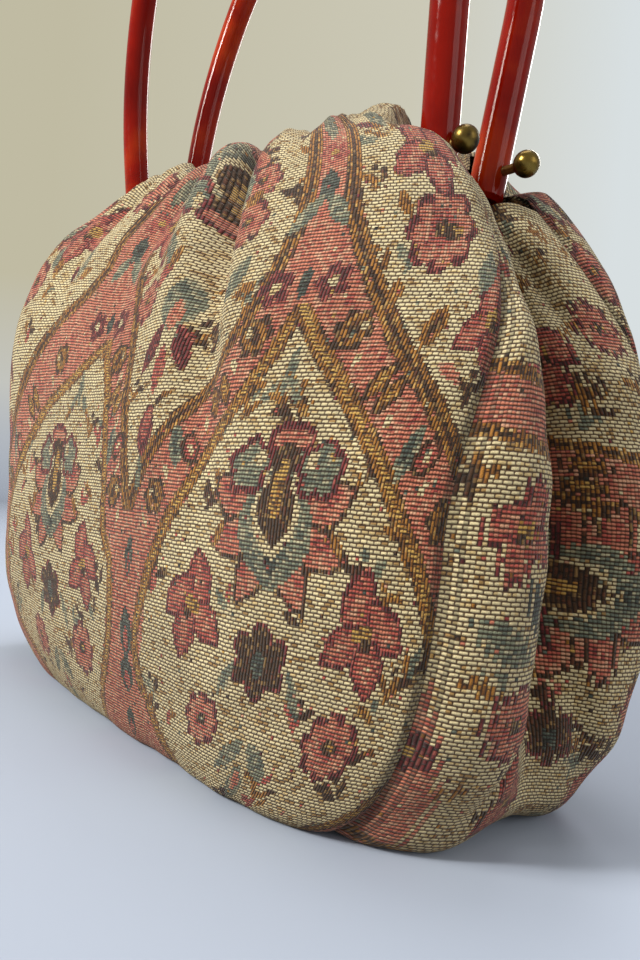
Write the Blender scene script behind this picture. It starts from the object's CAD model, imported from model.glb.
"""Tapestry handbag: woven cloth, lining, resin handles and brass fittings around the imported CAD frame."""

import math

import bpy
import numpy as np
from mathutils import Matrix, Vector


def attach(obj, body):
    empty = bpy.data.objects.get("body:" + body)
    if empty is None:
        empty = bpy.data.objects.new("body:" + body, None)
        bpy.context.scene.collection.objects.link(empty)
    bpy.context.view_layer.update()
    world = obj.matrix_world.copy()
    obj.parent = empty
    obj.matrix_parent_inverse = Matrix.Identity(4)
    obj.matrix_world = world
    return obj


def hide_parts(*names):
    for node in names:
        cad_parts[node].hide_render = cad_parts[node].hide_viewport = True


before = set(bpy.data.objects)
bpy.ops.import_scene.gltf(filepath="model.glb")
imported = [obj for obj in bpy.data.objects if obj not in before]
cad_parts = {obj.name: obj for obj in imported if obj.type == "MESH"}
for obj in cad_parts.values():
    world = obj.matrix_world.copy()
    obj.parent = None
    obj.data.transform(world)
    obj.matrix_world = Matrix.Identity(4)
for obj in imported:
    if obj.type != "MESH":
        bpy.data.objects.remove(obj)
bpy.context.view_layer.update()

MM = 0.001

# Cloth body, in millimetres, the same form as the CAD cloth
BODY_HEIGHT = 212.0
BELLY_HEIGHT = 80.0
BASE_HALF_WIDTH = 130.0
BELLY_HALF_WIDTH = 160.0
MOUTH_HALF_WIDTH = 98.0
BASE_HALF_DEPTH = 52.0
BELLY_HALF_DEPTH = 72.0
MOUTH_HALF_DEPTH = 24.0
SQUARENESS = 3.2
BASE_FULLNESS = 0.5
SHOULDER_FULLNESS = 0.6
CREST_FULLNESS = 0.42
SEAM_BASE_DEPTH = 41.0
SEAM_BELLY_DEPTH = 47.5
SEAM_MOUTH_DEPTH = 17.0
SEAM_TAPER = 2.5
FOLD_DEPTH = 34.0
FOLD_HALF_WIDTH = 34.0
FOLD_DEPTH_SHARE = 0.7
FOLD_SHARPNESS = 1.6
FOLD_START = 8.0
FOLD_RUN = 60.0
GUSSET_TOP = 186.0
DOME_HEIGHT = BODY_HEIGHT - BELLY_HEIGHT
LEVEL_SAMPLES = 6001
LEVEL_CROWDING = 2.6
RIPPLE_WAVES = 7

ROD_HEIGHT = 200.0
ROD_OFFSET = 12.5
SLEEVE_RADIUS = 4.6
SLEEVE_HALF_LENGTH = 90.5

# Weave: one face of the mesh is one cell of the cloth
CELL_WIDTH = 2.2
CELL_HEIGHT = 1.1
PANEL_HALF_CLOTH = 166.0
END_CLOTH = 118.0
SEAM_SHADE_WIDTH = 2.4
SEAM_SHADE = 0.55
SEAM_GROOVE = 1.6
SEAM_GROOVE_WIDTH = 2.6
BASE_COLUMNS = 180
BASE_ROWS = 44
BASE_LIFT = 0.9
BASE_ROUNDING = 6
FLOOR_GAP = 0.2

# Hem: rolls over the crest for a share of its rows, then round the rod
HEM_ROWS = 36
HEM_OVER = 0.45
HEM_LIFT = 3.5
HEM_PULL = 0.45
HEM_STAND_OFF = 1.0
HEM_WRAP = 1.35
HEM_MAX_SPREAD = 1.06
PUCKERS = 17
PUCKER_DEPTH = 0.45

# Settled cloth: how far it stands off the even form, and the spans in which each change fades in
FORE_SPAN = (20, -25)
LEFT_SPAN = (-40, -110)
SHOULDER_RISES = ((15, -104, 44), (6, -50, 30))
SHOULDER_SPAN = (90, 185)
SHOULDER_DRAW = 9
DRAW_X_SPANS = ((70, 160), (222, 196))
DRAW_Y_SPANS = ((80, 170), (226, 200))
HEEL_LIFT = 4
HEEL_DRAW = 2
HEEL_X_SPAN = (92, 124)
HEEL_Y = (-8, 36)
HEEL_Z_SPAN = (46, 0)
TOE_LIFT = 3
TOE_X_SPAN = (-50, -125)
TOE_Z_SPAN = (48, 0)
FOOT_SWELL = 3
FOOT_X = (85, 36)
FOOT_Z_SPAN = (34, 0)

# Clearance under the swinging handles: height at the rods, rise outwards, and rise between the legs
PRESS_HEIGHT = 191.6
PRESS_SLOPE = 0.46
PRESS_ROUNDING = 4.0
PRESS_RELEASE = 42
PRESS_SPAN = (101, 78)

# Lining pouch: half width and half depth at its bottom, its top and its hem
LINING_BOTTOM = (96.0, 43.0)
LINING_TOP = (84.0, 39.0)
LINING_HEM = (86.0, 9.0)
LINING_FLOOR = 2.0
LINING_TOP_HEIGHT = 186.0
LINING_HEM_HEIGHT = 197.0
LINING_COLUMNS = 220
LINING_FLOOR_ROWS = 24
LINING_WALL_ROWS = 90
LINING_TURN_ROWS = 18
LINING_CORNER = 5.0
LINING_CORNER_RUN = 14
LINING_PLEATS = 19
LINING_PLEAT = 1.6
LINING_RIPPLE = 2.0
LINING_SLACK = 3.0
LINING_CALM = 0.8
LINING_CLOTH_RADIUS = 90


def smooth(low, high, value):
    """Smooth step from 0 at low to 1 at high."""
    t = np.clip((value - low) / (high - low), 0, 1)
    return t * t * (3 - 2 * t)


def bump(value, centre, width):
    """Bell curve of height 1."""
    return np.exp(-(((value - centre) / width) ** 2))


def swell(level, base, belly, mouth, fullness):
    """Half size at a level, as in the CAD cloth."""
    low = base + (belly - base) * np.sin(np.pi / 2 * np.clip(level / BELLY_HEIGHT, 0, 1)) ** BASE_FULLNESS
    rise = np.clip((level - BELLY_HEIGHT) / DOME_HEIGHT, 0, 1)
    high = mouth + (belly - mouth) * np.clip(np.cos(np.pi / 2 * rise), 0, 1) ** fullness
    return np.where(level < BELLY_HEIGHT, low, high)


def depth_at(level):
    """Half depth of the cloth at a level."""
    return swell(level, BASE_HALF_DEPTH, BELLY_HALF_DEPTH, MOUTH_HALF_DEPTH, CREST_FULLNESS)


def seam_angle(level):
    """Polar angle on the outline at which a panel meets the gusset."""
    seam = swell(level, SEAM_BASE_DEPTH, SEAM_BELLY_DEPTH, SEAM_MOUTH_DEPTH, SEAM_TAPER) / depth_at(level)
    return np.arctan2(seam, (1 - seam**SQUARENESS) ** (1 / SQUARENESS))


def superellipse(angle):
    """Squared-off unit outline at an angle."""
    across, along = np.cos(angle), np.sin(angle)
    reach = (np.abs(across) ** SQUARENESS + np.abs(along) ** SQUARENESS) ** (-1 / SQUARENESS)
    return reach * across, reach * along


def outline(level, angle):
    """Points (..., 3) of the cloth's outline, with the side folds."""
    half_width = swell(level, BASE_HALF_WIDTH, BELLY_HALF_WIDTH, MOUTH_HALF_WIDTH, SHOULDER_FULLNESS)
    half_depth = depth_at(level)
    across, along = superellipse(angle)
    x, y = half_width * across, half_depth * along
    fold_width = np.minimum(FOLD_HALF_WIDTH, FOLD_DEPTH_SHARE * half_depth)
    fold = FOLD_DEPTH * np.clip((level - FOLD_START) / FOLD_RUN, 0, 1)
    x = x - np.sign(x) * fold * np.clip(1 - np.abs(y) / fold_width, 0, 1) ** FOLD_SHARPNESS
    return np.stack([x, y, level + 0 * x], axis=-1)


def meridian_levels(top, step):
    """Levels from the base to top, evenly spaced along the cloth, and the cloth length up to each."""
    dense = top * (1 - (1 - np.linspace(0, 1, LEVEL_SAMPLES)) ** LEVEL_CROWDING)
    run = np.concatenate([[0], np.cumsum(np.hypot(np.diff(dense), np.diff(depth_at(dense))))])
    rows = int(run[-1] / step)
    lengths = np.arange(rows + 1) * run[-1] / rows
    return np.interp(lengths, run, dense), lengths


def ripple(u, v, seed, size):
    """Gentle uneven waves of about that wavelength, from a fixed seed."""
    rng = np.random.default_rng(seed)
    total = 0 * u
    for _ in range(RIPPLE_WAVES):
        turn, phase = rng.uniform(0, np.pi), rng.uniform(0, 2 * np.pi)
        wave = 2 * np.pi / (size * rng.uniform(0.7, 1.6))
        total = total + np.sin(wave * (u * np.cos(turn) + v * np.sin(turn)) + phase)
    return total / RIPPLE_WAVES


def unevenness(u, v, seed, waves):
    """Ripples laid over each other."""
    return sum(height * ripple(u, v, seed + 10 * i, size) for i, (height, size) in enumerate(waves))


def settle(points, front):
    """Form shared by panels, gusset and base: full left shoulder, heel and toe lifted off the floor."""
    x, y, z = points[..., 0], points[..., 1], points[..., 2]
    fore = smooth(*FORE_SPAN, y) if front else 0 * y
    left = smooth(*LEFT_SPAN, x)
    rise = sum(height * bump(x, centre, half) for height, centre, half in SHOULDER_RISES)
    z = z + fore * rise * smooth(*SHOULDER_SPAN, z)
    x = x - fore * SHOULDER_DRAW * left * smooth(*DRAW_X_SPANS[0], z) * smooth(*DRAW_X_SPANS[1], z)
    y = y - fore * SHOULDER_DRAW * left * smooth(*DRAW_Y_SPANS[0], z) * smooth(*DRAW_Y_SPANS[1], z)
    heel = smooth(*HEEL_X_SPAN, x) * bump(y, *HEEL_Y) * smooth(*HEEL_Z_SPAN, z)
    toe = fore * smooth(*TOE_X_SPAN, x) * smooth(*TOE_Z_SPAN, z)
    z = z + HEEL_LIFT * heel + TOE_LIFT * toe
    x = x - HEEL_DRAW * heel
    y = y - fore * FOOT_SWELL * bump(x, *FOOT_X) * smooth(*FOOT_Z_SPAN, z)
    return np.stack([x, y, z], axis=-1)


def press(points):
    """Hold the cloth's ends under the legs of the handles as they swing."""
    x, y, z = points[..., 0], points[..., 1], points[..., 2]
    cap = PRESS_HEIGHT + PRESS_SLOPE * np.maximum(np.abs(y) - ROD_OFFSET, 0)
    cap = cap + PRESS_RELEASE * smooth(*PRESS_SPAN, np.abs(x))
    start = cap - PRESS_ROUNDING
    soft = start + PRESS_ROUNDING * (1 - np.exp(-np.maximum(z - start, 0) / PRESS_ROUNDING))
    return np.stack([x, y, np.where(z > start, soft, z)], axis=-1)


# Folds that run down from the gathered mouth: place across the mouth, depth, half width, length, lean
FRONT_FOLDS = (
    (0.40, 17, 4.8, 96, 7), (0.23, -5, 8, 84, 5), (0.58, -3, 9, 60, 9), (0.10, 4, 6, 60, 3),
    (-0.07, 8, 5.5, 58, -1), (-0.24, 4, 5, 40, -4), (-0.42, 5, 5, 36, -6), (-0.62, 8, 6, 56, -2),
    (-0.84, 6, 5.5, 46, -10), (-1.02, 4.5, 6, 40, -16), (0.72, 4.4, 5, 24, 5), (0.90, 4.6, 5, 30, 8),
)
REAR_FOLDS = (
    (-0.75, 4.5, 8, 50, -16), (-0.50, 5.5, 7.5, 62, -12), (-0.28, 4, 7, 44, -6),
    (-0.05, 6.5, 8, 70, 2), (0.20, 4.5, 7, 52, 8), (0.42, 6, 8, 64, 12), (0.64, 4, 7, 46, 16),
    (0.84, 3.5, 7, 40, 18),
)
# How the folds start and fan out on their way down, in millimetres of cloth
FOLD_SPAN = (-8, 12)
FOLD_REACH = 80
FOLD_FAN = 0.55
FOLD_FAN_RUN = 110
FOLD_LEAN_RUN = 60
FOLD_WIDEN_RUN = 90
# Unevenness: heights and wavelengths; and the fine gathers along the crest
PANEL_WAVES = ((1.6, 70), (0.5, 26))
PANEL_EDGE = (1.0, 0.93)
END_WAVES = ((2.2, 46), (0.8, 22))
END_EDGE = (1.0, 0.86)
GATHER_DEPTH = 0.7
GATHER_PITCH = 11.5
GATHER_WANDER = 1.3
GATHER_RUN = 14
# Creases of the gusset: place across and up the cloth, depth, half width, half length, lean
END_CREASES = (
    (-14, 66, 4, 4, 26, 6), (-24, 32, 3.4, 4, 14, 16), (18, 40, 3, 5, 16, -10),
    (-30, 176, 3, 4.5, 18, 5), (26, 168, 3, 4.5, 20, -5),
)
CREASE_LEAN_RUN = 30
VALLEY_DEPTH = 9
VALLEY = (2, 11)
VALLEY_SPAN = (25, 90)
FLANK_SWELLS = ((3.0, -34, 20), (2.0, 34, 20))
# Puffs of the crest: place along X, rise, half width
PUFF_SPAN = (34, 2)
FRONT_PUFFS = (
    (-84, 9, 13), (-62, 8, 11), (-38, 12, 13), (-14, 9, 10), (12, 6, 11), (44, 2, 9), (74, 6, 15),
)
REAR_PUFFS = ((-70, 5, 18), (-30, 6, 15), (8, 4, 14), (44, 6, 15), (76, 3, 12))


def outward(points, axis, side):
    """Unit normals of a grid, turned to that side of an axis."""
    n = np.cross(np.gradient(points, axis=1), np.gradient(points, axis=0))
    n = n / np.maximum(np.linalg.norm(n, axis=-1, keepdims=True), 1e-9)
    return -n if np.sum(n[..., axis]) * side < 0 else n


def cloth_grid(top, width):
    """Shares across the cloth, levels, and cloth coordinates of a grid from the base up to top."""
    levels, lengths = meridian_levels(top, CELL_HEIGHT)
    columns = int(width / CELL_WIDTH)
    share = np.linspace(-1, 1, columns + 1)[None, :]
    level = levels[:, None] + 0 * share
    return share, level, share * columns * CELL_WIDTH / 2 + 0 * level, lengths[:, None] + 0 * share


def panel_grid(side):
    """Grid of one panel from its base edge over the crest and round its rod."""
    front = side < 0
    folds, puffs = (FRONT_FOLDS, FRONT_PUFFS) if front else (REAR_FOLDS, REAR_PUFFS)
    share, level, u, v = cloth_grid(BODY_HEIGHT, 2 * PANEL_HALF_CLOTH)
    angle = side * (np.pi / 2 * (1 - share) + share * seam_angle(level))
    points = settle(outline(level, angle), front)

    drop = v[-1, 0] - v
    edge = smooth(*PANEL_EDGE, np.abs(share))
    depth = 0 * v
    for place, deep, half, long, lean in folds:
        centre = place * FOLD_REACH * (1 + FOLD_FAN * drop / FOLD_FAN_RUN) + lean * drop / FOLD_LEAN_RUN
        fade = np.exp(-((drop / long) ** 2)) * smooth(*FOLD_SPAN, drop)
        depth = depth + deep * fade * bump(points[..., 0], centre, half * (1 + drop / FOLD_WIDEN_RUN))
    swellings = unevenness(u, v, 5 if front else 9, PANEL_WAVES)
    gathers = np.cos(2 * np.pi * u / GATHER_PITCH + GATHER_WANDER * ripple(u, v, 3, 40))
    fine = GATHER_DEPTH * gathers * np.exp(-drop / GATHER_RUN)
    groove = SEAM_GROOVE * bump(np.abs(u), u[0, -1], SEAM_GROOVE_WIDTH)
    points = points + outward(points, 1, side) * ((swellings + fine - depth) * edge - groove)[..., None]
    points[..., 2] = np.maximum(points[..., 2], FLOOR_GAP)
    for centre, rise, half in puffs:
        points[..., 2] += rise * bump(points[..., 0], centre, half) * smooth(*PUFF_SPAN, drop)
    points = press(points)

    hem = np.linspace(0, 1, HEM_ROWS + 1)[1:, None]
    run = hem * HEM_ROWS * CELL_HEIGHT
    points = np.concatenate([points, hem_points(points[-1:], share, hem, side)])
    return points, np.concatenate([u, u[-1:] + 0 * run]), np.concatenate([v, v[-1:] + run])


def hem_points(crest, share, hem, side):
    """Rows of the hem: a curve from the crest to the top of the rod, then a puckered turn round it."""
    rod_y = side * ROD_OFFSET
    tuck = np.clip(hem / HEM_OVER, 0, 1)
    turn = np.clip((hem - HEM_OVER) / (1 - HEM_OVER), 0, 1)
    y0, z0 = crest[..., 1], crest[..., 2]
    y2, z2 = rod_y + side * HEM_STAND_OFF, ROD_HEIGHT + SLEEVE_RADIUS
    y1, z1 = y0 * HEM_PULL + y2 * (1 - HEM_PULL), np.maximum(z0, z2) + HEM_LIFT
    over_y = (1 - tuck) ** 2 * y0 + 2 * tuck * (1 - tuck) * y1 + tuck**2 * y2
    over_z = (1 - tuck) ** 2 * z0 + 2 * tuck * (1 - tuck) * z1 + tuck**2 * z2
    swing = np.pi / 2 - turn * HEM_WRAP * np.pi
    pucker = PUCKER_DEPTH * np.cos(2 * np.pi * share * PUCKERS + 2 * np.sin(9 * share))
    radius = SLEEVE_RADIUS + pucker
    round_y = rod_y - side * radius * np.cos(swing) + side * HEM_STAND_OFF * (1 - turn)
    y = np.where(hem < HEM_OVER, over_y, round_y)
    z = np.where(hem < HEM_OVER, over_z + pucker * tuck, ROD_HEIGHT + radius * np.sin(swing))
    spread = min(SLEEVE_HALF_LENGTH / np.abs(crest[0, [0, -1], 0]).max(), HEM_MAX_SPREAD)
    x = crest[..., 0] * (1 + (spread - 1) * smooth(0, 0.5, hem)) + 0 * y
    return np.stack([x, y, z], axis=-1)


def gusset_grid(side):
    """Grid of one end of the gusset, from the base up to its top edge."""
    share, level, u, v = cloth_grid(GUSSET_TOP, END_CLOTH)
    flat = outline(level, share * seam_angle(level))
    flat[..., 0] *= side
    points = settle(flat, True)
    edge = smooth(*END_EDGE, np.abs(share))
    bulge = unevenness(u, v, 25 + side, END_WAVES)
    bulge = bulge - VALLEY_DEPTH * bump(u, *VALLEY) * smooth(*VALLEY_SPAN, v)
    for height, centre, half in FLANK_SWELLS:
        bulge = bulge + height * bump(u, centre, half)
    for across, up, deep, half, long, lean in END_CREASES:
        bulge = bulge - deep * bump(u - lean * (v - up) / CREASE_LEAN_RUN, across, half) * bump(v, up, long)
    groove = SEAM_GROOVE * bump(np.abs(u), u[0, -1], SEAM_GROOVE_WIDTH)
    points = points + outward(points, 0, side) * (bulge * edge - groove)[..., None]
    points[..., 2] = np.maximum(points[..., 2], FLOOR_GAP)
    return press(points), u, v


def place_object(name, data):
    """New object in the scene."""
    made = bpy.data.objects.new(name, data)
    bpy.context.scene.collection.objects.link(made)
    return made


def grid_object(name, points, u, v, flip=False):
    """Mesh object of a grid, in metres, with the cloth coordinates as its UV map."""
    rows, columns = points.shape[:2]
    index = np.arange(rows * columns).reshape(rows, columns)
    corners = [index[:-1, :-1], index[:-1, 1:], index[1:, 1:], index[1:, :-1]]
    if flip:
        corners.reverse()
    faces = np.stack([c.ravel() for c in corners], axis=1)
    mesh = bpy.data.meshes.new(name)
    mesh.vertices.add(rows * columns)
    mesh.vertices.foreach_set("co", (points.reshape(-1, 3) * MM).ravel())
    mesh.loops.add(faces.size)
    mesh.loops.foreach_set("vertex_index", faces.ravel())
    mesh.polygons.add(len(faces))
    mesh.polygons.foreach_set("loop_start", np.arange(len(faces)) * 4)
    mesh.polygons.foreach_set("use_smooth", np.ones(len(faces), bool))
    mesh.update()
    layer = mesh.uv_layers.new(name="cloth")
    cells = np.stack([u.ravel(), v.ravel()], axis=1) / CELL_HEIGHT
    layer.data.foreach_set("uv", cells[faces.ravel()].ravel())
    mesh.validate()
    return place_object(name, mesh)


# Tapestry pattern: threads by kind, each with its yarn colours and their shares
YARNS = {
    "cream": ((255, 238, 186, 0.76), (240, 212, 150, 0.15), (188, 150, 92, 0.09)),
    "salmon": ((240, 148, 116, 0.56), (252, 190, 152, 0.24), (206, 108, 88, 0.20)),
    "rose": ((214, 104, 88, 0.58), (238, 152, 122, 0.26), (158, 66, 60, 0.16)),
    "maroon": ((134, 56, 56, 0.60), (98, 42, 42, 0.22), (184, 96, 84, 0.18)),
    "umber": ((84, 58, 36, 0.60), (110, 66, 44, 0.22), (158, 124, 76, 0.18)),
    "ochre": ((190, 130, 56, 0.58), (140, 92, 42, 0.28), (222, 174, 96, 0.14)),
    "gold": ((236, 190, 100, 0.64), (200, 140, 62, 0.24), (130, 90, 46, 0.12)),
    "slate": ((158, 164, 136, 0.55), (116, 126, 110, 0.23), (216, 210, 170, 0.22)),
    "ink": ((86, 96, 86, 0.62), (124, 132, 114, 0.22), (56, 56, 46, 0.16)),
}
KINDS = list(YARNS)
# How each kind is woven: cream bricks, rows of beads, or standing strokes
BRICK, BEAD, STROKE = 0.0, 0.5, 1.0
WEAVE = dict.fromkeys(KINDS, BEAD) | {"cream": BRICK, "maroon": STROKE, "umber": STROKE, "ochre": STROKE}
SHADE_SPREAD = 0.08
STRAY_SHARE = 0.018
STRAY_WEAR = 0.10
SOIL = (142, 106, 70)
SOIL_SHARE = 0.62
CURVE_SAMPLES = 300
CURVE_ROUNDING = 19


def curve(v, places):
    """Place of a border at each height, from a few (height, place) pairs, with rounded corners."""
    heights, across = zip(*sorted(places))
    fine = np.linspace(heights[0], heights[-1], CURVE_SAMPLES)
    kernel = np.hanning(CURVE_ROUNDING)
    padded = np.pad(np.interp(fine, heights, across), CURVE_ROUNDING // 2, mode="edge")
    return np.interp(v, fine, np.convolve(padded, kernel / kernel.sum(), mode="valid"))


class Canvas:
    """Kinds of thread over a grid of cloth cells, painted in layers."""

    def __init__(self, u, v):
        self.u, self.v = u, v
        self.kind = np.zeros(u.shape, int)

    def fill(self, mask, kind):
        self.kind[mask] = KINDS.index(kind)

    def local(self, cu, cv, turn):
        c, s = math.cos(math.radians(turn)), math.sin(math.radians(turn))
        du, dv = self.u - cu, self.v - cv
        return c * du + s * dv, -s * du + c * dv

    def oval(self, cu, cv, ru, rv, kind, turn=0.0):
        x, y = self.local(cu, cv, turn)
        self.fill((x / ru) ** 2 + (y / rv) ** 2 < 1, kind)

    def leaf(self, cu, cv, half, length, kind, turn=0.0):
        """Pointed leaf, its length along its own v axis."""
        x, y = self.local(cu, cv, turn)
        t = np.clip(y / length, -1, 1)
        self.fill((np.abs(x) < half * (1 - t**2)) & (np.abs(y) < length), kind)

    def leaf_pairs(self, axis, *leaves):
        """Leaves mirrored about an axis: place off it, height, half width, half length, kind, lean."""
        for side in (-1, 1):
            for du, cv, half, length, kind, lean in leaves:
                self.leaf(axis + side * du, cv, half, length, kind, side * lean)

    def paint(self, u0, flowers):
        """Paint a table of (shape, place across from u0, and what the shape takes) rows."""
        for shape, du, *rest in flowers:
            shape(self, u0 + du, *rest)

    def rosette(self, cu, cv, inner, outer, petals, kind, turn=0.0):
        x, y = self.local(cu, cv, turn)
        reach = inner + (outer - inner) * np.abs(np.cos(petals / 2 * np.arctan2(x, y))) ** 0.7
        self.fill(np.hypot(x, y) < reach, kind)

    def line(self, places, width, kind, low=-1e9, high=1e9):
        """Border along a curve of (height, place) pairs, of one width measured across it."""
        at = curve(self.v, places)
        slope = (curve(self.v + 1, places) - curve(self.v - 1, places)) / 2
        across = np.abs(self.u - at) / np.hypot(1, slope)
        self.fill((across < width / 2) & (self.v > low) & (self.v < high), kind)


# Petals of the blossoms: place, half width, half length, lean
BIG_PETALS = ((17, 2, 5.0, 9.0, 62), (15, -9, 4.8, 10.5, 100), (7, -17, 4.4, 9.5, 150))
BELL_PETALS = ((-2, 7, 6, 10, 14), (7, 2, 5.5, 9, -46), (-6, -4, 5.5, 9, 52), (3, -8, 5.5, 9, -10))
BELL_LAYERS = ((1, 1, "maroon"), (0.8, 0.86, "rose"), (0.34, 0.6, "salmon"))


def big_flower(c, cu, cv, turn=0.0):
    """Large stylised blossom: salmon petals, slate calyx, lobed head and gold stamen."""
    k, s = math.cos(math.radians(turn)), math.sin(math.radians(turn))

    def at(du, dv):
        return cu + k * du - s * dv, cv + s * du + k * dv

    for side in (-1, 1):
        for du, dv, half, length, lean in BIG_PETALS:
            place, inner = at(side * du, dv), at(side * (du + 1.6), dv + 1.4)
            c.leaf(*place, half + 1.3, length + 1.5, "umber", turn - side * lean)
            c.leaf(*place, half, length, "salmon", turn - side * lean)
            c.leaf(*inner, half * 0.3, length * 0.5, "rose", turn - side * (lean - 10))
    c.leaf(*at(0, -5), 13.5, 17, "slate", turn)
    c.leaf(*at(0, -11), 2.6, 7, "ink", turn)
    c.leaf(*at(0, -1), 8.6, 12.5, "cream", turn)
    c.leaf(*at(0, 0), 6.8, 10.0, "umber", turn)
    for side in (-1, 1):
        c.rosette(*at(side * 12.5, 10.5), 6.4, 8.6, 5, "maroon", turn)
        c.rosette(*at(side * 12.5, 10.5), 4.6, 6.6, 5, "slate", turn)
        c.oval(*at(side * 9.0, 13.0), 2.0, 2.6, "cream", turn)
    for dv, ru, rv, kind in (
        (18.5, 8.0, 4.6, "maroon"), (18.0, 6.2, 3.0, "salmon"), (13.0, 5.0, 4.2, "umber"),
        (6.0, 3.8, 8.0, "umber"), (5.0, 2.3, 8.2, "gold"),
    ):
        c.oval(*at(0, dv), ru, rv, kind, turn)


def dark_flower(c, cu, cv, size=1.0):
    """Dark six-petalled flower with a slate heart."""
    c.rosette(cu, cv, 7.0 * size, 11.2 * size, 6, "maroon")
    c.rosette(cu, cv, 6.0 * size, 9.8 * size, 6, "umber")
    c.oval(cu, cv - 0.6, 2.4 * size, 3.8 * size, "ink")


def bell_flower(c, cu, cv, side, size=1.0):
    """Side blossom in rose and maroon with a gold heart."""
    for du, dv, half, length, lean in BELL_PETALS:
        x, y = cu + side * du * size, cv + dv * size
        for wide, long, kind in BELL_LAYERS:
            c.leaf(x, y, half * wide * size, length * long * size, kind, -side * lean)
    c.oval(cu, cv, 3.4 * size, 2.4 * size, "gold", 30 * side)
    c.oval(cu + side * 1.5, cv - 2.6 * size, 2.0 * size, 1.5 * size, "umber")


def round_flower(c, cu, cv, size=1.0):
    """Round salmon blossom ringed with maroon points."""
    c.rosette(cu, cv, 7.4 * size, 9.6 * size, 8, "maroon")
    c.rosette(cu, cv, 5.8 * size, 8.0 * size, 8, "salmon", 10)
    c.rosette(cu, cv, 2.6 * size, 4.2 * size, 6, "rose")
    c.oval(cu, cv, 2.5 * size, 1.9 * size, "umber")
    c.oval(cu + 0.4, cv + 0.2, 1.1 * size, 0.8 * size, "gold")


def sprig(c, cu, cv):
    """Slate sprig of a stem leaf and two hanging leaves."""
    c.leaf(cu, cv + 5, 3.4, 7.0, "ink")
    c.leaf_pairs(cu, (5, cv - 4, 2.8, 8.0, "slate", 32))
    c.leaf(cu, cv - 5, 1.7, 6.0, "salmon")


def small_rosette(c, cu, cv, kind, heart, size):
    c.rosette(cu, cv, 2.8 * size, 5.2 * size, 5, kind, 20)
    c.oval(cu, cv, 1.4 * size, 1.4 * size, heart)


def seed_pods(c, cu, cv, turn=0.0):
    """Brown and gold pods with a slate rim."""
    for du in (-3.2, 2.6):
        x = cu + du * math.cos(math.radians(turn))
        y = cv + du * math.sin(math.radians(turn))
        c.leaf(x, y, 3.0, 6.4, "umber", turn)
        c.leaf(x, y, 2.1, 5.0, "ochre", turn)
        c.oval(x, y, 0.9, 2.4, "gold", turn)


# Marks of the bands, and the height at which the bands part from the medallions' sides
MARK_STEP = 15.5
MARK_LEAN = 34
MARK_INSET = 12
BAND_START = 84
BAND_WIDTHS = (24, 26)


def band_marks(c, left, right, low, high, side):
    """Pods, leaves and small rosettes spaced along the middle of a band."""
    turn = -MARK_LEAN * side
    for i, v0 in enumerate(np.arange(low, high, MARK_STEP)):
        start = curve(v0, left)
        u0 = (start + curve(v0, right)) / 2 if v0 > BAND_START else start + MARK_INSET * side
        if i % 3 == 0:
            c.rosette(u0, v0, 4.6, 6.2, 6, "umber", turn)
            c.oval(u0, v0, 4.2, 4.6, "ochre", turn)
            c.leaf(u0, v0, 1.4, 4.0, "umber", turn)
            c.oval(u0 + 2.6 * side, v0 + 1, 1.0, 1.4, "cream")
        elif i % 3 == 1:
            c.leaf(u0 - 2.6, v0, 3.0, 7.6, "slate", turn * 0.5)
            c.leaf(u0 - 3.4, v0 + 1, 1.2, 5.0, "ink", turn * 0.5)
            c.oval(u0 + 3.4, v0 - 0.6, 3.6, 5.4, "umber", turn)
            c.oval(u0 + 3.6, v0 - 0.6, 2.4, 3.8, "rose", turn)
            c.oval(u0 + 3.8, v0 - 0.6, 1.0, 1.8, "cream", turn)
        else:
            seed_pods(c, u0, v0, turn)
        c.leaf(u0 - 5 * side, v0 + 8, 1.2, 2.4, "rose", turn)
        c.leaf(u0 + 5 * side, v0 - 8, 1.2, 2.4, "cream", turn)


SCATTER_AREA = 330  # square millimetres for each sprig


def scatter(c, seed, low, high):
    """Small leaves and dots strewn over the cream ground."""
    rng = np.random.default_rng(seed)
    ground = c.kind.copy()
    span_u, span_v = np.ptp(c.u), np.ptp(c.v)
    kinds = ("ochre", "umber", "slate", "ochre", "umber", "ochre", "rose", "umber")
    for _ in range(int(span_u * span_v / SCATTER_AREA)):
        cu, cv = c.u.min() + rng.random() * span_u, c.v.min() + rng.random() * span_v
        kind, turn = kinds[rng.integers(len(kinds))], rng.uniform(-70, 70)
        other = kinds[rng.integers(len(kinds))]
        size = rng.uniform(0.7, 1.35)
        if not low < cv < high:
            continue
        c.leaf(cu, cv, 1.5 * size, 4.2 * size, kind, turn)
        c.leaf(cu + 3.4 * size, cv + 2.2 * size, 1.3 * size, 3.0 * size, other, turn - 48)
        if size > 1:
            c.leaf(cu - 3.2 * size, cv + 1.6 * size, 1.2 * size, 2.8 * size, kind, turn + 50)
            c.oval(cu, cv + 4.4 * size, 1.3 * size, 1.3 * size, other)
    hold = ground != KINDS.index("cream")
    c.kind[hold] = ground[hold]


# Tips of the medallions, start of the outer borders, mirror line and middle band
MEDALLION_TIP = 146
BORDER_START = 86
MIRROR_LINE = -110.0
MIDDLE_BAND = (14, 50)
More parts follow.
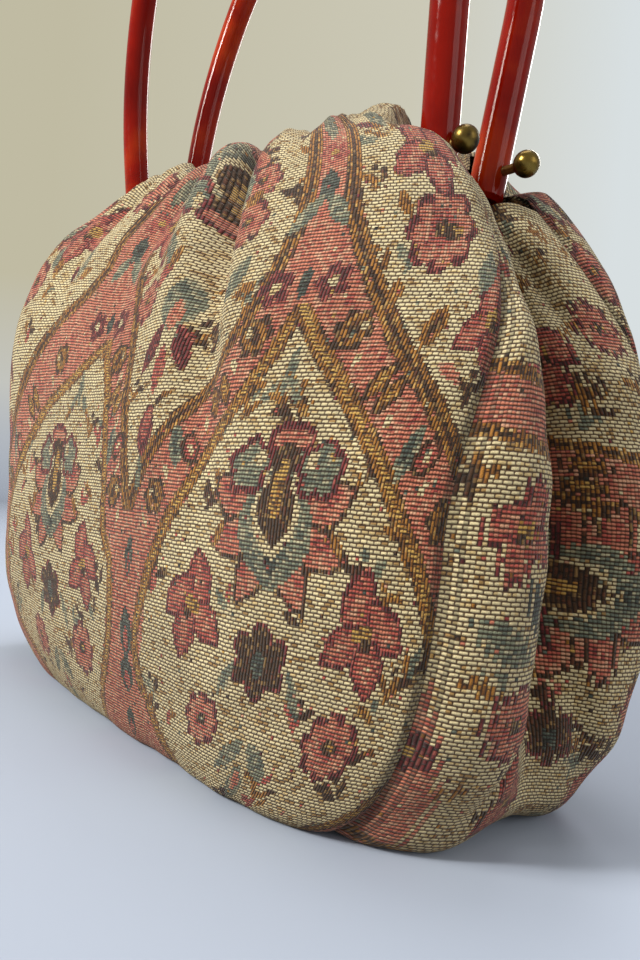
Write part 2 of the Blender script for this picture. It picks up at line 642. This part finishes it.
# Trellis borders of the front, as (height, place across) pairs in millimetres of cloth
RIGHT_INNER_LEFT = (
    (0, 74), (14, 60), (30, 46), (45, 43), (59, 48), (72, 53), (85, 60), (94, 67), (110, 75),
    (118, 82), (133, 91), (146, 95),
)
RIGHT_INNER_RIGHT = (
    (0, 146), (14, 160), (30, 170), (50, 169), (64, 165), (83, 156), (103, 141), (123, 119),
    (135, 105), (146, 95),
)
RIGHT_OUTER_LEFT = ((84, 34), (100, 42), (112, 51), (124, 62), (136, 71), (149, 80), (171, 84), (300, 84))
RIGHT_OUTER_RIGHT = (
    (84, 186), (100, 172), (110, 161), (121, 148), (135, 130), (150, 116), (164, 106), (178, 100),
    (300, 98),
)
LEFT_INNER_LEFT = (
    (0, -68), (14, -82), (30, -98), (45, -103), (60, -104), (80, -98), (95, -88), (109, -74),
    (120, -58), (133, -26), (146, -8),
)
LEFT_INNER_RIGHT = (
    (0, 2), (20, 10), (33, 18), (45, 23), (58, 25), (68, 24), (77, 15), (88, 14), (105, 11), (123, 6),
    (135, -1), (146, -8),
)
LEFT_OUTER_LEFT = (
    (84, -116), (100, -108), (112, -100), (125, -88), (136, -76), (149, -62), (165, -37), (175, -29),
    (300, -27),
)
LEFT_OUTER_RIGHT = ((84, 36), (89, 33), (105, 28), (123, 22), (143, 15), (158, 9), (172, 0), (300, -2))
TRELLIS = (
    (RIGHT_INNER_LEFT, RIGHT_INNER_RIGHT, RIGHT_OUTER_LEFT, RIGHT_OUTER_RIGHT),
    (LEFT_INNER_LEFT, LEFT_INNER_RIGHT, LEFT_OUTER_LEFT, LEFT_OUTER_RIGHT),
)
leaf, leaf_pairs, oval = Canvas.leaf, Canvas.leaf_pairs, Canvas.oval
# Medallions: axis, lean of the tip, place of the crown above it
LEAN_SHARE = 0.62
MEDALLIONS = ((108, -14, 91), (-36, 26, -14))
MEDALLION = (
    (big_flower, 0, 92), (dark_flower, -1, 51), (bell_flower, -31, 62, -1), (bell_flower, 33, 64, 1),
    (round_flower, -22, 29, 0.95), (round_flower, 30, 33, 1.1),
    (leaf_pairs, 0, (6, 22, 3.0, 8, "slate", 40), (13, 44, 1.8, 7, "slate", 24)),
    (leaf_pairs, 0, (22, 84, 1.5, 5, "ochre", 30)),
    (leaf, 0, 12, 3.4, 8, "slate"), (oval, 0, 14, 1.6, 4, "salmon"),
)
TIP = (
    (leaf, 0, 128, 1.8, 7.5, "slate"),
    (leaf_pairs, 0, (5, 122, 1.5, 5.5, "slate", 34), (9, 118, 1.3, 4.0, "ochre", 48)),
)
CROWN = (
    (sprig, 0, 180), (leaf, 2, 153, 2.0, 5, "ink"),
    (small_rosette, -7, 152, "maroon", "cream", 1.15), (small_rosette, 11, 153, "maroon", "cream", 1.15),
    (small_rosette, 1, 200, "rose", "gold", 1.2), (leaf, 0, 216, 3.0, 9, "slate"),
)
FIELD_AXES = (40, 178, -106)
FIELD = (
    (leaf, 0, 154, 7.0, 10, "slate"), (leaf, 0, 150, 2.6, 6, "salmon"),
    (leaf_pairs, 0, (6.5, 139, 3.2, 9, "maroon", 22), (11, 166, 3.0, 7, "rose", 40)),
    (leaf_pairs, 0, (17, 178, 3.4, 7, "ochre", 54)),
    (round_flower, -24, 194, 0.9), (round_flower, 24, 194, 0.9), (leaf, 0, 132, 2.6, 9, "rose"),
    (leaf, 0.5, 112, 4.6, 9, "maroon"), (leaf, 0.5, 114, 2.6, 6, "rose"),
    (leaf, 0, 98, 2.0, 6, "slate"), (big_flower, 0, 208, 180), (round_flower, 0, 236),
)
# Blossoms on the gusset, and those of the fields above the medallions
SIDE_FLOWERS = (
    (big_flower, 14, 76, 86), (bell_flower, -40, 92, -1, 0.8), (round_flower, -34, 46, 1.1),
    (small_rosette, -57, 36, "maroon", "gold", 1.2), (leaf, -42, 66, 4.5, 10, "slate", 60),
    (leaf, -34, 74, 3.0, 8, "ink", 20), (round_flower, 42, 42), (dark_flower, 8, 34, 0.9),
    (bell_flower, -18, 18, 1, 0.9), (bell_flower, 36, 14, -1, 0.9), (bell_flower, 12, 144, 1),
    (round_flower, -24, 150, 0.9), (round_flower, 40, 152), (leaf, -2, 128, 2.6, 8, "slate", 50),
    (dark_flower, 14, 182, 0.8), (round_flower, -20, 188),
)
FIELD_FLOWERS = (
    (round_flower, 133, 168, 1.45), (oval, 137, 167, 4.2, 2.8, "umber"),
    (oval, 139, 168, 2.2, 1.5, "gold"), (bell_flower, 160, 143, 1, 0.95),
    (leaf, 139, 140, 3.6, 6.5, "ochre", -20), (leaf, 139, 140, 1.6, 4.0, "umber", -20),
    (leaf, 150, 128, 1.8, 6, "salmon", 62), (leaf, 118, 176, 2.2, 5, "ochre", 30),
    (leaf, 122, 150, 1.9, 4, "ochre", 14), (leaf, 154, 156, 4.0, 7, "slate", -12),
    (bell_flower, 128, 196, 1, 1.1), (bell_flower, -66, 196, -1, 1.1), (bell_flower, 10, 192, 1),
    (round_flower, -90, 172, 1.1), (round_flower, -40, 214, 1.2), (round_flower, -100, 206, 1.1),
    (round_flower, 62, 178), (round_flower, 18, 158, 0.9), (round_flower, 150, 214, 1.2),
)
FIELD_LEAVES = (
    (-78, 182, 30), (-54, 178, -20), (-84, 214, 10), (26, 176, 24), (56, 192, -24), (112, 214, 16),
    (66, 158, -30),
)


def paint_panel(u, v):
    """Two medallions in an ogee trellis, the fields between them, and their flowers."""
    u = np.where(u < MIRROR_LINE, 2 * MIRROR_LINE - u, u)
    c = Canvas(u, v)
    for inner_left, inner_right, outer_left, outer_right in TRELLIS:
        inner = (curve(v, inner_left), curve(v, inner_right))
        left = np.where(v < BAND_START, inner[0] - BAND_WIDTHS[0], curve(v, outer_left))
        right = np.where(v < BAND_START, inner[1] + BAND_WIDTHS[1], curve(v, outer_right))
        medallion = (u > inner[0]) & (u < inner[1]) & (v < MEDALLION_TIP)
        c.fill((u > left) & (u < right) & ~medallion, "salmon")
    between = (u > curve(v, LEFT_INNER_RIGHT)) & (u < curve(v, RIGHT_INNER_LEFT))
    c.fill((u > MIDDLE_BAND[0]) & (u < MIDDLE_BAND[1]) & (v < BAND_START) & between, "salmon")
    scatter(c, 11, -20, 400)
    for inner_left, inner_right, outer_left, outer_right in TRELLIS:
        for border in (inner_left, inner_right):
            for width, kind in ((5.4, "umber"), (4.6, "ochre"), (1.6, "gold")):
                c.line(border, width, kind, high=MEDALLION_TIP + 1)
        for border in (outer_left, outer_right):
            for width, kind in ((5.8, "umber"), (4.8, "ochre"), (1.4, "umber")):
                c.line(border, width, kind, low=BORDER_START)
    band_marks(c, RIGHT_INNER_RIGHT, RIGHT_OUTER_RIGHT, 46, 150, 1)
    band_marks(c, RIGHT_OUTER_LEFT, RIGHT_INNER_LEFT, 92, 150, -1)
    band_marks(c, LEFT_OUTER_LEFT, LEFT_INNER_LEFT, 92, 150, -1)
    band_marks(c, LEFT_INNER_RIGHT, LEFT_OUTER_RIGHT, 92, 150, 1)

    for axis, lean, crown in MEDALLIONS:
        c.paint(axis, MEDALLION)
        c.paint(axis + lean * LEAN_SHARE, TIP)
        c.paint(crown, CROWN)
    for v0, half, length in ((72, 2.4, 7), (46, 4.4, 9), (32, 4.8, 7), (14, 3.2, 6)):
        u0 = 37 - (46 - v0) * 0.04
        c.leaf(u0, v0, half, length, "ink")
        c.leaf(u0, v0 - 2, half * 0.45, length * 0.5, "rose")

    for axis in FIELD_AXES:
        c.paint(axis, FIELD)
    c.paint(0, FIELD_FLOWERS)
    for u0, v0, turn in FIELD_LEAVES:
        c.leaf(u0, v0, 3.4, 8.0, "slate", turn)
        c.leaf(u0 + 6, v0 - 5, 2.4, 5.0, "ochre", turn - 40)
        c.leaf(u0 - 6, v0 - 4, 2.0, 4.6, "maroon", turn + 36)
    return c.kind


SIDE_SLOPE = 0.2
SIDE_BANDS = ((112, 128), (-16, 2))


def paint_side(u, v):
    """The same cloth turned a quarter: bands lie across the gusset and its flowers lie down."""
    c = Canvas(u, v)
    rise = v + SIDE_SLOPE * (u + 40)
    for low, high in SIDE_BANDS:
        c.fill((rise > low) & (rise < high), "salmon")
    c.fill((u < -46) & (v < 62) & (np.abs(u + 60) < (62 - v) * 0.34), "salmon")
    scatter(c, 23, -40, 400)
    for edge in (112, 128, 2):
        c.fill(np.abs(rise - edge) < 1.8, "ochre")
        c.fill(np.abs(rise - edge) < 0.5, "umber")
    for cu in (-30, 18, 48):
        seed_pods(c, cu, 120 - SIDE_SLOPE * (cu + 40), 78)
    c.paint(0, SIDE_FLOWERS)
    return c.kind


def srgb(value):
    """Linear value of an sRGB channel from 0 to 255."""
    c = np.asarray(value) / 255
    return np.where(c < 0.04045, c / 12.92, ((c + 0.055) / 1.055) ** 2.4)


def dye(piece, u, v, painter, seed, wear=0.0, seam_shade=True):
    """Write the colour and weave of each half cell to the mesh, from the pattern at its centre."""
    rows, columns = u.shape[0] - 1, u.shape[1] - 1
    low, high = (u[:-1, :-1] + u[1:, :-1]) / 2, (u[:-1, 1:] + u[1:, 1:]) / 2
    cu = np.stack([low * 0.75 + high * 0.25, low * 0.25 + high * 0.75], axis=-1).reshape(rows, 2 * columns)
    cv = np.repeat((v[:-1, :-1] + v[1:, 1:]) / 2, 2, axis=1)
    kind = painter(cu, cv)
    rng = np.random.default_rng(seed)
    draw, shade = rng.random(kind.shape), rng.normal(1, SHADE_SPREAD, kind.shape)
    brick = (np.arange(2 * columns) + (np.arange(rows)[:, None] + 1) % 2) // 2
    loose = kind == KINDS.index("cream")
    draw, shade = (np.where(loose, np.take_along_axis(part, brick, 1), part) for part in (draw, shade))
    worn = np.repeat(wear + 0 * v[:-1, :-1], 2, axis=1)
    stray = rng.random(kind.shape) < STRAY_SHARE + STRAY_WEAR * worn
    kind = np.where(stray, rng.integers(0, len(KINDS), kind.shape), kind)
    colour = np.ones((*kind.shape, 4), np.float32)
    for i, name in enumerate(KINDS):
        yarns = YARNS[name]
        limits = np.cumsum([yarn[3] for yarn in yarns])
        pick = np.clip(np.searchsorted(limits, draw), 0, len(yarns) - 1)
        here = kind == i
        colour[here, :3] = srgb([yarn[:3] for yarn in yarns])[pick][here]
        colour[here, 3] = WEAVE[name]
    seam = np.abs(cu) > np.abs(cu).max() - SEAM_SHADE_WIDTH
    colour[..., :3] *= np.where(seam & seam_shade, SEAM_SHADE, 1.0)[..., None]
    soil = SOIL_SHARE * worn[..., None]
    colour[..., :3] = (colour[..., :3] * (1 - soil) + srgb(SOIL) * soil) * shade[..., None]
    for side, name in enumerate(("thread_left", "thread_right")):
        layer = piece.data.attributes.new(name, "FLOAT_COLOR", "FACE")
        layer.data.foreach_set("color", np.ascontiguousarray(colour[:, side::2]).ravel())


class Shader:
    """One node material, with short calls for its nodes."""

    def __init__(self, name):
        self.material = bpy.data.materials.new(name)
        self.material.use_nodes = True
        self.tree = self.material.node_tree
        self.bsdf = self.tree.nodes["Principled BSDF"]

    def put(self, socket, value):
        if isinstance(value, bpy.types.NodeSocket):
            self.tree.links.new(value, socket)
        else:
            socket.default_value = value

    def node(self, kind, inputs=None, **settings):
        made = self.tree.nodes.new(kind)
        for key, value in settings.items():
            setattr(made, key, value)
        for key, value in (inputs or {}).items():
            self.put(made.inputs[key], value)
        return made

    def math(self, operation, *values):
        return self.node("ShaderNodeMath", dict(enumerate(values)), operation=operation).outputs[0]

    def times(self, a, b):
        return self.math("MULTIPLY", a, b)

    def plus(self, a, b):
        return self.math("ADD", a, b)

    def minus(self, a, b):
        return self.math("SUBTRACT", a, b)

    def fract(self, a):
        return self.math("FRACT", a)

    def mix(self, share, a, b, blend="MIX"):
        inputs = {0: share, 6: a, 7: b}
        return self.node("ShaderNodeMix", inputs, data_type="RGBA", blend_type=blend).outputs[2]

    def blend(self, share, a, b):
        return self.node("ShaderNodeMix", {0: share, 2: a, 3: b}, data_type="FLOAT").outputs[0]

    def spread(self, value, low, high, to_low=0.0, to_high=1.0):
        inputs = {0: value, 1: low, 2: high, 3: to_low, 4: to_high}
        return self.node("ShaderNodeMapRange", inputs).outputs[0]

    def noise(self, scale, detail, vector):
        inputs = {"Scale": scale, "Detail": detail, "Vector": vector}
        return self.node("ShaderNodeTexNoise", inputs).outputs[0]

    def bump(self, strength, distance, height):
        inputs = {"Strength": strength, "Distance": distance, "Height": height}
        return self.node("ShaderNodeBump", inputs).outputs[0]

    def ramp(self, value, stops):
        made = self.node("ShaderNodeValToRGB", {0: value})
        marks = made.color_ramp.elements
        while len(marks) < len(stops):
            marks.new(0.5)
        for mark, (place, colour) in zip(marks, stops):
            mark.position, mark.color = place, (*srgb(colour), 1)
        return made.outputs[0]

    def finish(self, **inputs):
        for key, value in inputs.items():
            self.put(self.bsdf.inputs[key.replace("_", " ")], value)
        return self.material


def cloth_space(s):
    """Cloth coordinates in cell heights, with a slight wander of the threads."""
    cloth = s.node("ShaderNodeUVMap", uv_map="cloth").outputs[0]
    split = s.node("ShaderNodeSeparateXYZ", {0: cloth})
    x, y = split.outputs[0], split.outputs[1]
    drift_x = s.times(s.minus(s.noise(0.23, 1.0, cloth), 0.5), 0.5)
    drift_y = s.times(s.minus(s.noise(0.31, 1.0, cloth), 0.5), 0.5)
    return cloth, x, s.plus(x, drift_x), s.plus(y, drift_y)


def profile(s, t, power, depth):
    """Height across one thread: 1 in its middle and 1 - depth at its edges."""
    away = s.math("ABSOLUTE", s.minus(s.times(t, 2.0), 1.0))
    return s.minus(1.0, s.times(s.math("POWER", away, power), depth))


# Standing strokes: their length in rows of the weave, and the step from one to the next
STROKE_CELLS = 3.0
STROKE_STAGGER = 1.3


def tapestry_material():
    """Jacquard weave: cream bricks, rows of coloured beads and standing strokes, by cell."""
    s = Shader("tapestry")
    cloth, straight_x, x, y = cloth_space(s)
    fract_x, fract_y = s.fract(x), s.fract(y)
    shifted = s.minus(1.0, s.times(s.fract(s.times(s.math("FLOOR", y), 0.5)), 2.0))
    brick_x = s.fract(s.times(s.plus(x, shifted), 0.5))
    staggered = s.plus(y, s.times(s.math("FLOOR", x), STROKE_STAGGER))
    stroke_y = s.fract(s.math("DIVIDE", staggered, STROKE_CELLS))
    brick = s.times(profile(s, brick_x, 6.0, 0.96), profile(s, fract_y, 1.9, 0.95))
    bead = s.times(profile(s, fract_x, 2.4, 0.45), profile(s, fract_y, 1.7, 0.96))
    stroke = s.times(profile(s, fract_x, 1.8, 0.94), profile(s, stroke_y, 6.0, 0.7))

    right_half = s.math("GREATER_THAN", s.fract(s.times(straight_x, 0.5)), 0.5)
    sides = [s.node("ShaderNodeAttribute", attribute_name=name) for name in ("thread_left", "thread_right")]
    thread = s.mix(right_half, sides[0].outputs["Color"], sides[1].outputs["Color"])
    weave = s.blend(right_half, sides[0].outputs["Alpha"], sides[1].outputs["Alpha"])
    height = s.blend(s.math("GREATER_THAN", weave, (BRICK + BEAD) / 2), brick, bead)
    height = s.blend(s.math("GREATER_THAN", weave, (BEAD + STROKE) / 2), height, stroke)

    fibre = s.noise(3.1, 3.0, cloth)
    fuzz = s.noise(9.0, 3.0, cloth)
    height = s.plus(height, s.times(s.minus(fuzz, 0.5), 0.35))
    lift = s.spread(height, 0.34, 0.80)
    gap = s.mix(0.40, (0.022, 0.014, 0.006, 1), s.mix(1.0, thread, (0.24, 0.15, 0.11, 1), "MULTIPLY"))
    tone = s.mix(1.0, thread, s.ramp(fibre, ((0.25, (205, 205, 205)), (0.75, (255, 255, 255)))), "MULTIPLY")
    colour = s.mix(lift, gap, tone)
    age = s.noise(0.035, 4.0, cloth)
    colour = s.mix(s.spread(age, 0.45, 0.75, 0.0, 0.22), colour, (0.24, 0.16, 0.09, 1), "MULTIPLY")
    return s.finish(
        Base_Color=colour,
        Roughness=s.spread(fuzz, 0.3, 0.7, 0.78, 0.95),
        Normal=s.bump(0.9, 0.00055, height),
        Specular_IOR_Level=0.22,
        Sheen_Weight=0.22,
        Sheen_Roughness=0.5,
    )


def lining_material():
    """Warm satin lining, finely woven and creased."""
    s = Shader("lining")
    cloth, _, x, y = cloth_space(s)
    weft = profile(s, s.fract(s.times(y, 3.0)), 2.0, 0.6)
    warp = profile(s, s.fract(s.times(x, 3.0)), 2.0, 0.4)
    thread = s.times(weft, warp)
    tone = s.ramp(s.noise(0.05, 4.0, cloth), ((0.3, (120, 84, 58)), (0.7, (168, 128, 92))))
    colour = s.mix(s.spread(thread, 0.3, 0.9), s.mix(1.0, tone, (0.45, 0.42, 0.4, 1), "MULTIPLY"), tone)
    return s.finish(
        Base_Color=colour,
        Roughness=s.spread(s.noise(0.4, 3.0, cloth), 0.3, 0.7, 0.42, 0.6),
        Normal=s.bump(0.5, 0.0002, thread),
        Sheen_Weight=0.15,
    )


def resin_material():
    """Deep red amber resin: clouded inside, clear and glossy outside."""
    s = Shader("amber_resin")
    place = s.node("ShaderNodeTexCoord").outputs["Object"]
    cloud = s.noise(26.0, 4.0, place)
    wisp = s.noise(90.0, 3.0, place)
    colour = s.ramp(cloud, ((0.30, (108, 9, 2)), (0.52, (138, 18, 4)), (0.76, (186, 62, 14))))
    colour = s.mix(s.spread(wisp, 0.58, 0.8, 0.0, 0.5), colour, (*srgb((84, 8, 4)), 1))
    return s.finish(
        Base_Color=colour,
        Roughness=s.spread(s.noise(420.0, 4.0, place), 0.4, 0.8, 0.06, 0.2),
        Normal=s.bump(0.12, 0.0002, s.noise(60.0, 2.0, place)),
        IOR=1.54,
        Specular_IOR_Level=0.13,
        Subsurface_Weight=0.25,
        Subsurface_Radius=(0.012, 0.002, 0.0006),
    )


def brass_material(name, dark, light, rough):
    """Antique brass, browned in the hollows and rubbed bright in spots."""
    s = Shader(name)
    place = s.node("ShaderNodeTexCoord").outputs["Object"]
    patina = s.noise(160.0, 5.0, place)
    pits = s.noise(700.0, 3.0, place)
    colour = s.mix(s.spread(patina, 0.42, 0.66), (*srgb(light), 1), (*srgb(dark), 1))
    return s.finish(
        Base_Color=colour,
        Metallic=s.spread(patina, 0.35, 0.8, 1.0, 0.7),
        Roughness=s.spread(s.plus(patina, s.times(pits, 0.5)), 0.5, 1.1, rough, rough + 0.3),
        Normal=s.bump(0.35, 0.0002, pits),
    )


# Tones of the paper behind and under the bag
FLOOR = (174, 184, 201)
FLOOR_BOUNCE = (120, 118, 120)
WALL_LOW = (198, 204, 212)
WALL_LEFT = (192, 187, 163)
WALL_MIDDLE = (203, 200, 182)
WALL_RIGHT = (216, 223, 225)


def paper_material(aside):
    """Matt paper: diffuse floor that keeps the shadow, and a wall that shows its own pale tones."""
    s = Shader("paper")
    place = s.node("ShaderNodeTexCoord").outputs["Object"]
    height = s.node("ShaderNodeSeparateXYZ", {0: place}).outputs[2]
    across = s.node("ShaderNodeVectorMath", {0: place, 1: tuple(aside)}, operation="DOT_PRODUCT")
    stops = ((0.0, WALL_LEFT), (0.62, WALL_MIDDLE), (1.0, WALL_RIGHT))
    wall = s.ramp(s.spread(across.outputs["Value"], -0.9, 0.9), stops)
    tone = s.mix(s.spread(height, 0.0, 0.7), (*srgb(WALL_LOW), 1), wall)
    glow = s.node("ShaderNodeEmission", {"Color": tone})
    path = s.node("ShaderNodeLightPath").outputs
    seen = s.math("MAXIMUM", path["Is Glossy Ray"], path["Is Transmission Ray"])
    seen = s.math("MAXIMUM", path["Is Camera Ray"], seen)
    share = s.times(seen, s.spread(height, 0.0, 0.35))
    ground = s.mix(seen, (*srgb(FLOOR_BOUNCE), 1), (*srgb(FLOOR), 1))
    s.finish(Base_Color=ground, Roughness=0.9, Specular_IOR_Level=0.1)
    both = s.node("ShaderNodeMixShader", {0: share, 1: s.bsdf.outputs[0], 2: glow.outputs[0]})
    s.put(s.tree.nodes["Material Output"].inputs["Surface"], both.outputs[0])
    return s.material


def lining_grid():
    """Pouch of the lining: floor, wall and the turn under the gathered mouth, as one closed ring."""
    angles = np.linspace(0, 2 * np.pi, LINING_COLUMNS + 1)[None, :]
    bottom, top = np.array(LINING_BOTTOM), np.array(LINING_TOP)
    shares = np.linspace(0.04, 1, LINING_FLOOR_ROWS)
    rings = [(LINING_FLOOR, *(share * (bottom - LINING_CORNER)), 0.0) for share in shares]
    for share in np.linspace(0.04, 1, LINING_WALL_ROWS):
        z = LINING_FLOOR + share * (LINING_TOP_HEIGHT - LINING_FLOOR)
        half = bottom + (top - bottom) * share - LINING_CORNER * np.exp(-share * LINING_CORNER_RUN)
        rings.append((z, *half, smooth(0, 0.3, share)))
    for share in np.linspace(0.1, 1, LINING_TURN_ROWS):
        z = LINING_TOP_HEIGHT + (LINING_HEM_HEIGHT - LINING_TOP_HEIGHT) * np.sin(share * np.pi / 2)
        rings.append((z, *(top + (np.array(LINING_HEM) - top) * share), 1 - LINING_CALM * share))
    z, wide, deep, slack = (np.array(part)[:, None] for part in zip(*rings))
    u = angles * LINING_CLOTH_RADIUS + 0 * z
    steps = np.hypot(np.diff(z, axis=0), np.diff(deep, axis=0))
    v = np.cumsum(np.concatenate([[[0.0]], steps]))[:, None] + 0 * u
    pleat = LINING_PLEAT * np.cos(angles * LINING_PLEATS + 2.2 * np.sin(3 * angles))
    crease = slack * (pleat + LINING_RIPPLE * ripple(u, v, 71, 60) - LINING_SLACK)
    across, along = superellipse(angles)
    points = np.stack([(wide + crease) * across, (deep + crease) * along, z + 0 * u], axis=-1)
    points[:, -1] = points[:, 0]
    return points, u, v


def base_grid():
    """Cloth under the bag, from the middle out to the foot of the panels."""
    angles = np.linspace(0, 2 * np.pi, BASE_COLUMNS + 1)[None, :]
    share = np.linspace(0.02, 1, BASE_ROWS + 1)[:, None]
    edge = settle(outline(np.array(0.0), angles), True)
    curl = share**BASE_ROUNDING
    points = edge * np.stack([share + 0 * angles] * 2 + [curl + 0 * angles], axis=-1)
    points[..., 2] += BASE_LIFT * (1 - curl) + FLOOR_GAP
    return points, points[..., 1].copy(), points[..., 0].copy()


# Where the pattern lies on the pieces that are out of sight, and the height at which the wear begins
REAR_SHIFT = 30
LEFT_SHIFT = 12
BASE_SHIFT = 130
CREST_WEAR_SPAN = (205, 262)
front_points, front_u, front_v = panel_grid(-1)
rear_points, rear_u, rear_v = panel_grid(1)
front_cloth = grid_object("front_cloth", front_points, front_u, front_v)
rear_cloth = grid_object("rear_cloth", rear_points, rear_u, rear_v, flip=True)
crest_wear = smooth(*CREST_WEAR_SPAN, front_v[:-1, :-1])
dye(front_cloth, front_u, front_v, paint_panel, 41, crest_wear)
dye(rear_cloth, rear_u, rear_v, lambda u, v: paint_panel(REAR_SHIFT - u, v), 43, crest_wear)
ends = {}
for name, side in (("right", 1), ("left", -1)):
    end_points, end_u, end_v = gusset_grid(side)
    ends[name] = grid_object(f"gusset_{name}", end_points, end_u, end_v, flip=side < 0)
    painter = paint_side if side > 0 else lambda u, v: paint_side(-u, v + LEFT_SHIFT)
    dye(ends[name], end_u, end_v, painter, 45 + side)
base_points, base_u, base_v = base_grid()
base_cloth = grid_object("base_cloth", base_points, base_u, base_v, flip=True)
dye(base_cloth, base_u, base_v, lambda u, v: paint_side(u, v + BASE_SHIFT), 51, seam_shade=False)

tapestry = tapestry_material()
for piece in (front_cloth, rear_cloth, *ends.values(), base_cloth):
    piece.data.materials.append(tapestry)
    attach(piece, "bag")
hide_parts("front_panel", "front_sleeve")
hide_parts("rear_panel", "rear_sleeve")
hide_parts("gusset")

lining_points, lining_u, lining_v = lining_grid()
pouch = grid_object("lining_pouch", lining_points, lining_u, lining_v, flip=True)
pouch.data.materials.append(lining_material())
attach(pouch, "bag")
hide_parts("lining")

resin = resin_material()
aged = brass_material("aged_brass", (44, 34, 16), (122, 100, 46), 0.2)
dull = brass_material("rod_brass", (92, 74, 44), (176, 144, 84), 0.34)
for part, material in (("handle", resin), ("finials", aged), ("rod", dull)):
    for half in ("front", "rear"):
        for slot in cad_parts[f"{half}_{part}"].material_slots:
            slot.material = material

# Camera, as the photograph was taken
CAMERA = Vector((262.2, -183.1, 92.1)) * MM
YAW, PITCH, ROLL = math.radians(50.3), math.radians(0.85), math.radians(4.88)
LENS = 28.7
forward = Vector((-math.sin(YAW) * math.cos(PITCH), math.cos(YAW) * math.cos(PITCH), math.sin(PITCH)))
level_right = Vector((math.cos(YAW), math.sin(YAW), 0))
level_up = level_right.cross(forward)
right = math.cos(ROLL) * level_right + math.sin(ROLL) * level_up
up = -math.sin(ROLL) * level_right + math.cos(ROLL) * level_up
camera = place_object("camera", bpy.data.cameras.new("camera"))
camera.matrix_world = Matrix((*zip(right, up, -forward, CAMERA), (0, 0, 0, 1)))
camera.data.lens = LENS
camera.data.clip_start = 0.01
bpy.context.scene.camera = camera


# Sweep: floor, curve and wall in one sheet, wide enough for every view
SWEEP_RADIUS = 0.5
SWEEP_REACH = 1.6
SWEEP_FRONT = 2.4
SWEEP_HALF_WIDTH = 3.0
SWEEP_HEIGHT = 2.6
turns = np.linspace(0, np.pi / 2, 17)
section = [(-SWEEP_FRONT, 0.0)]
section += [(SWEEP_REACH + SWEEP_RADIUS * math.sin(t), SWEEP_RADIUS * (1 - math.cos(t))) for t in turns]
section += [(SWEEP_REACH + SWEEP_RADIUS, SWEEP_HEIGHT)]
away = Vector((-math.sin(YAW), math.cos(YAW), 0))
aside = Vector((math.cos(YAW), math.sin(YAW), 0))
edges = (-SWEEP_HALF_WIDTH, SWEEP_HALF_WIDTH)
verts = [away * d + aside * w + Vector((0, 0, z)) for d, z in section for w in edges]
faces = [(2 * i, 2 * i + 1, 2 * i + 3, 2 * i + 2) for i in range(len(section) - 1)]
sweep_mesh = bpy.data.meshes.new("sweep")
sweep_mesh.from_pydata(verts, [], faces)
for polygon in sweep_mesh.polygons:
    polygon.use_smooth = True
sweep = place_object("sweep", sweep_mesh)
sweep.data.materials.append(paper_material(aside))


def area_light(name, place, target, size, power, colour):
    lamp = bpy.data.lights.new(name, "AREA")
    lamp.shape, lamp.size, lamp.energy, lamp.color = "DISK", size, power, colour
    made = place_object(name, lamp)
    made.location = place
    made.rotation_euler = (Vector(target) - Vector(place)).to_track_quat("-Z", "Y").to_euler()


area_light("window", (-0.35, -1.5, 1.15), (0, 0, 0.14), 0.6, 25, (1.0, 0.96, 0.88))
area_light("glint", (-0.2, -1.3, 0.9), (0, 0, 0.2), 0.16, 9, (1.0, 0.98, 0.95))
area_light("fill", (1.3, 0.2, 0.6), (0, 0, 0.12), 0.8, 4, (0.98, 0.97, 0.95))
area_light("behind", (-0.6, 1.5, 1.1), (0, 0, 0.14), 0.8, 14, (1.0, 0.97, 0.92))
area_light("above", (-0.2, 0.1, 1.7), (0, 0, 0.1), 1.0, 8, (1.0, 0.98, 0.94))

world = bpy.data.worlds.new("studio")
world.use_nodes = True
world.node_tree.nodes["Background"].inputs["Color"].default_value = (0.96, 0.95, 0.93, 1)
world.node_tree.nodes["Background"].inputs["Strength"].default_value = 0.5
bpy.context.scene.world = world
bpy.context.scene.view_settings.view_transform = "Standard"
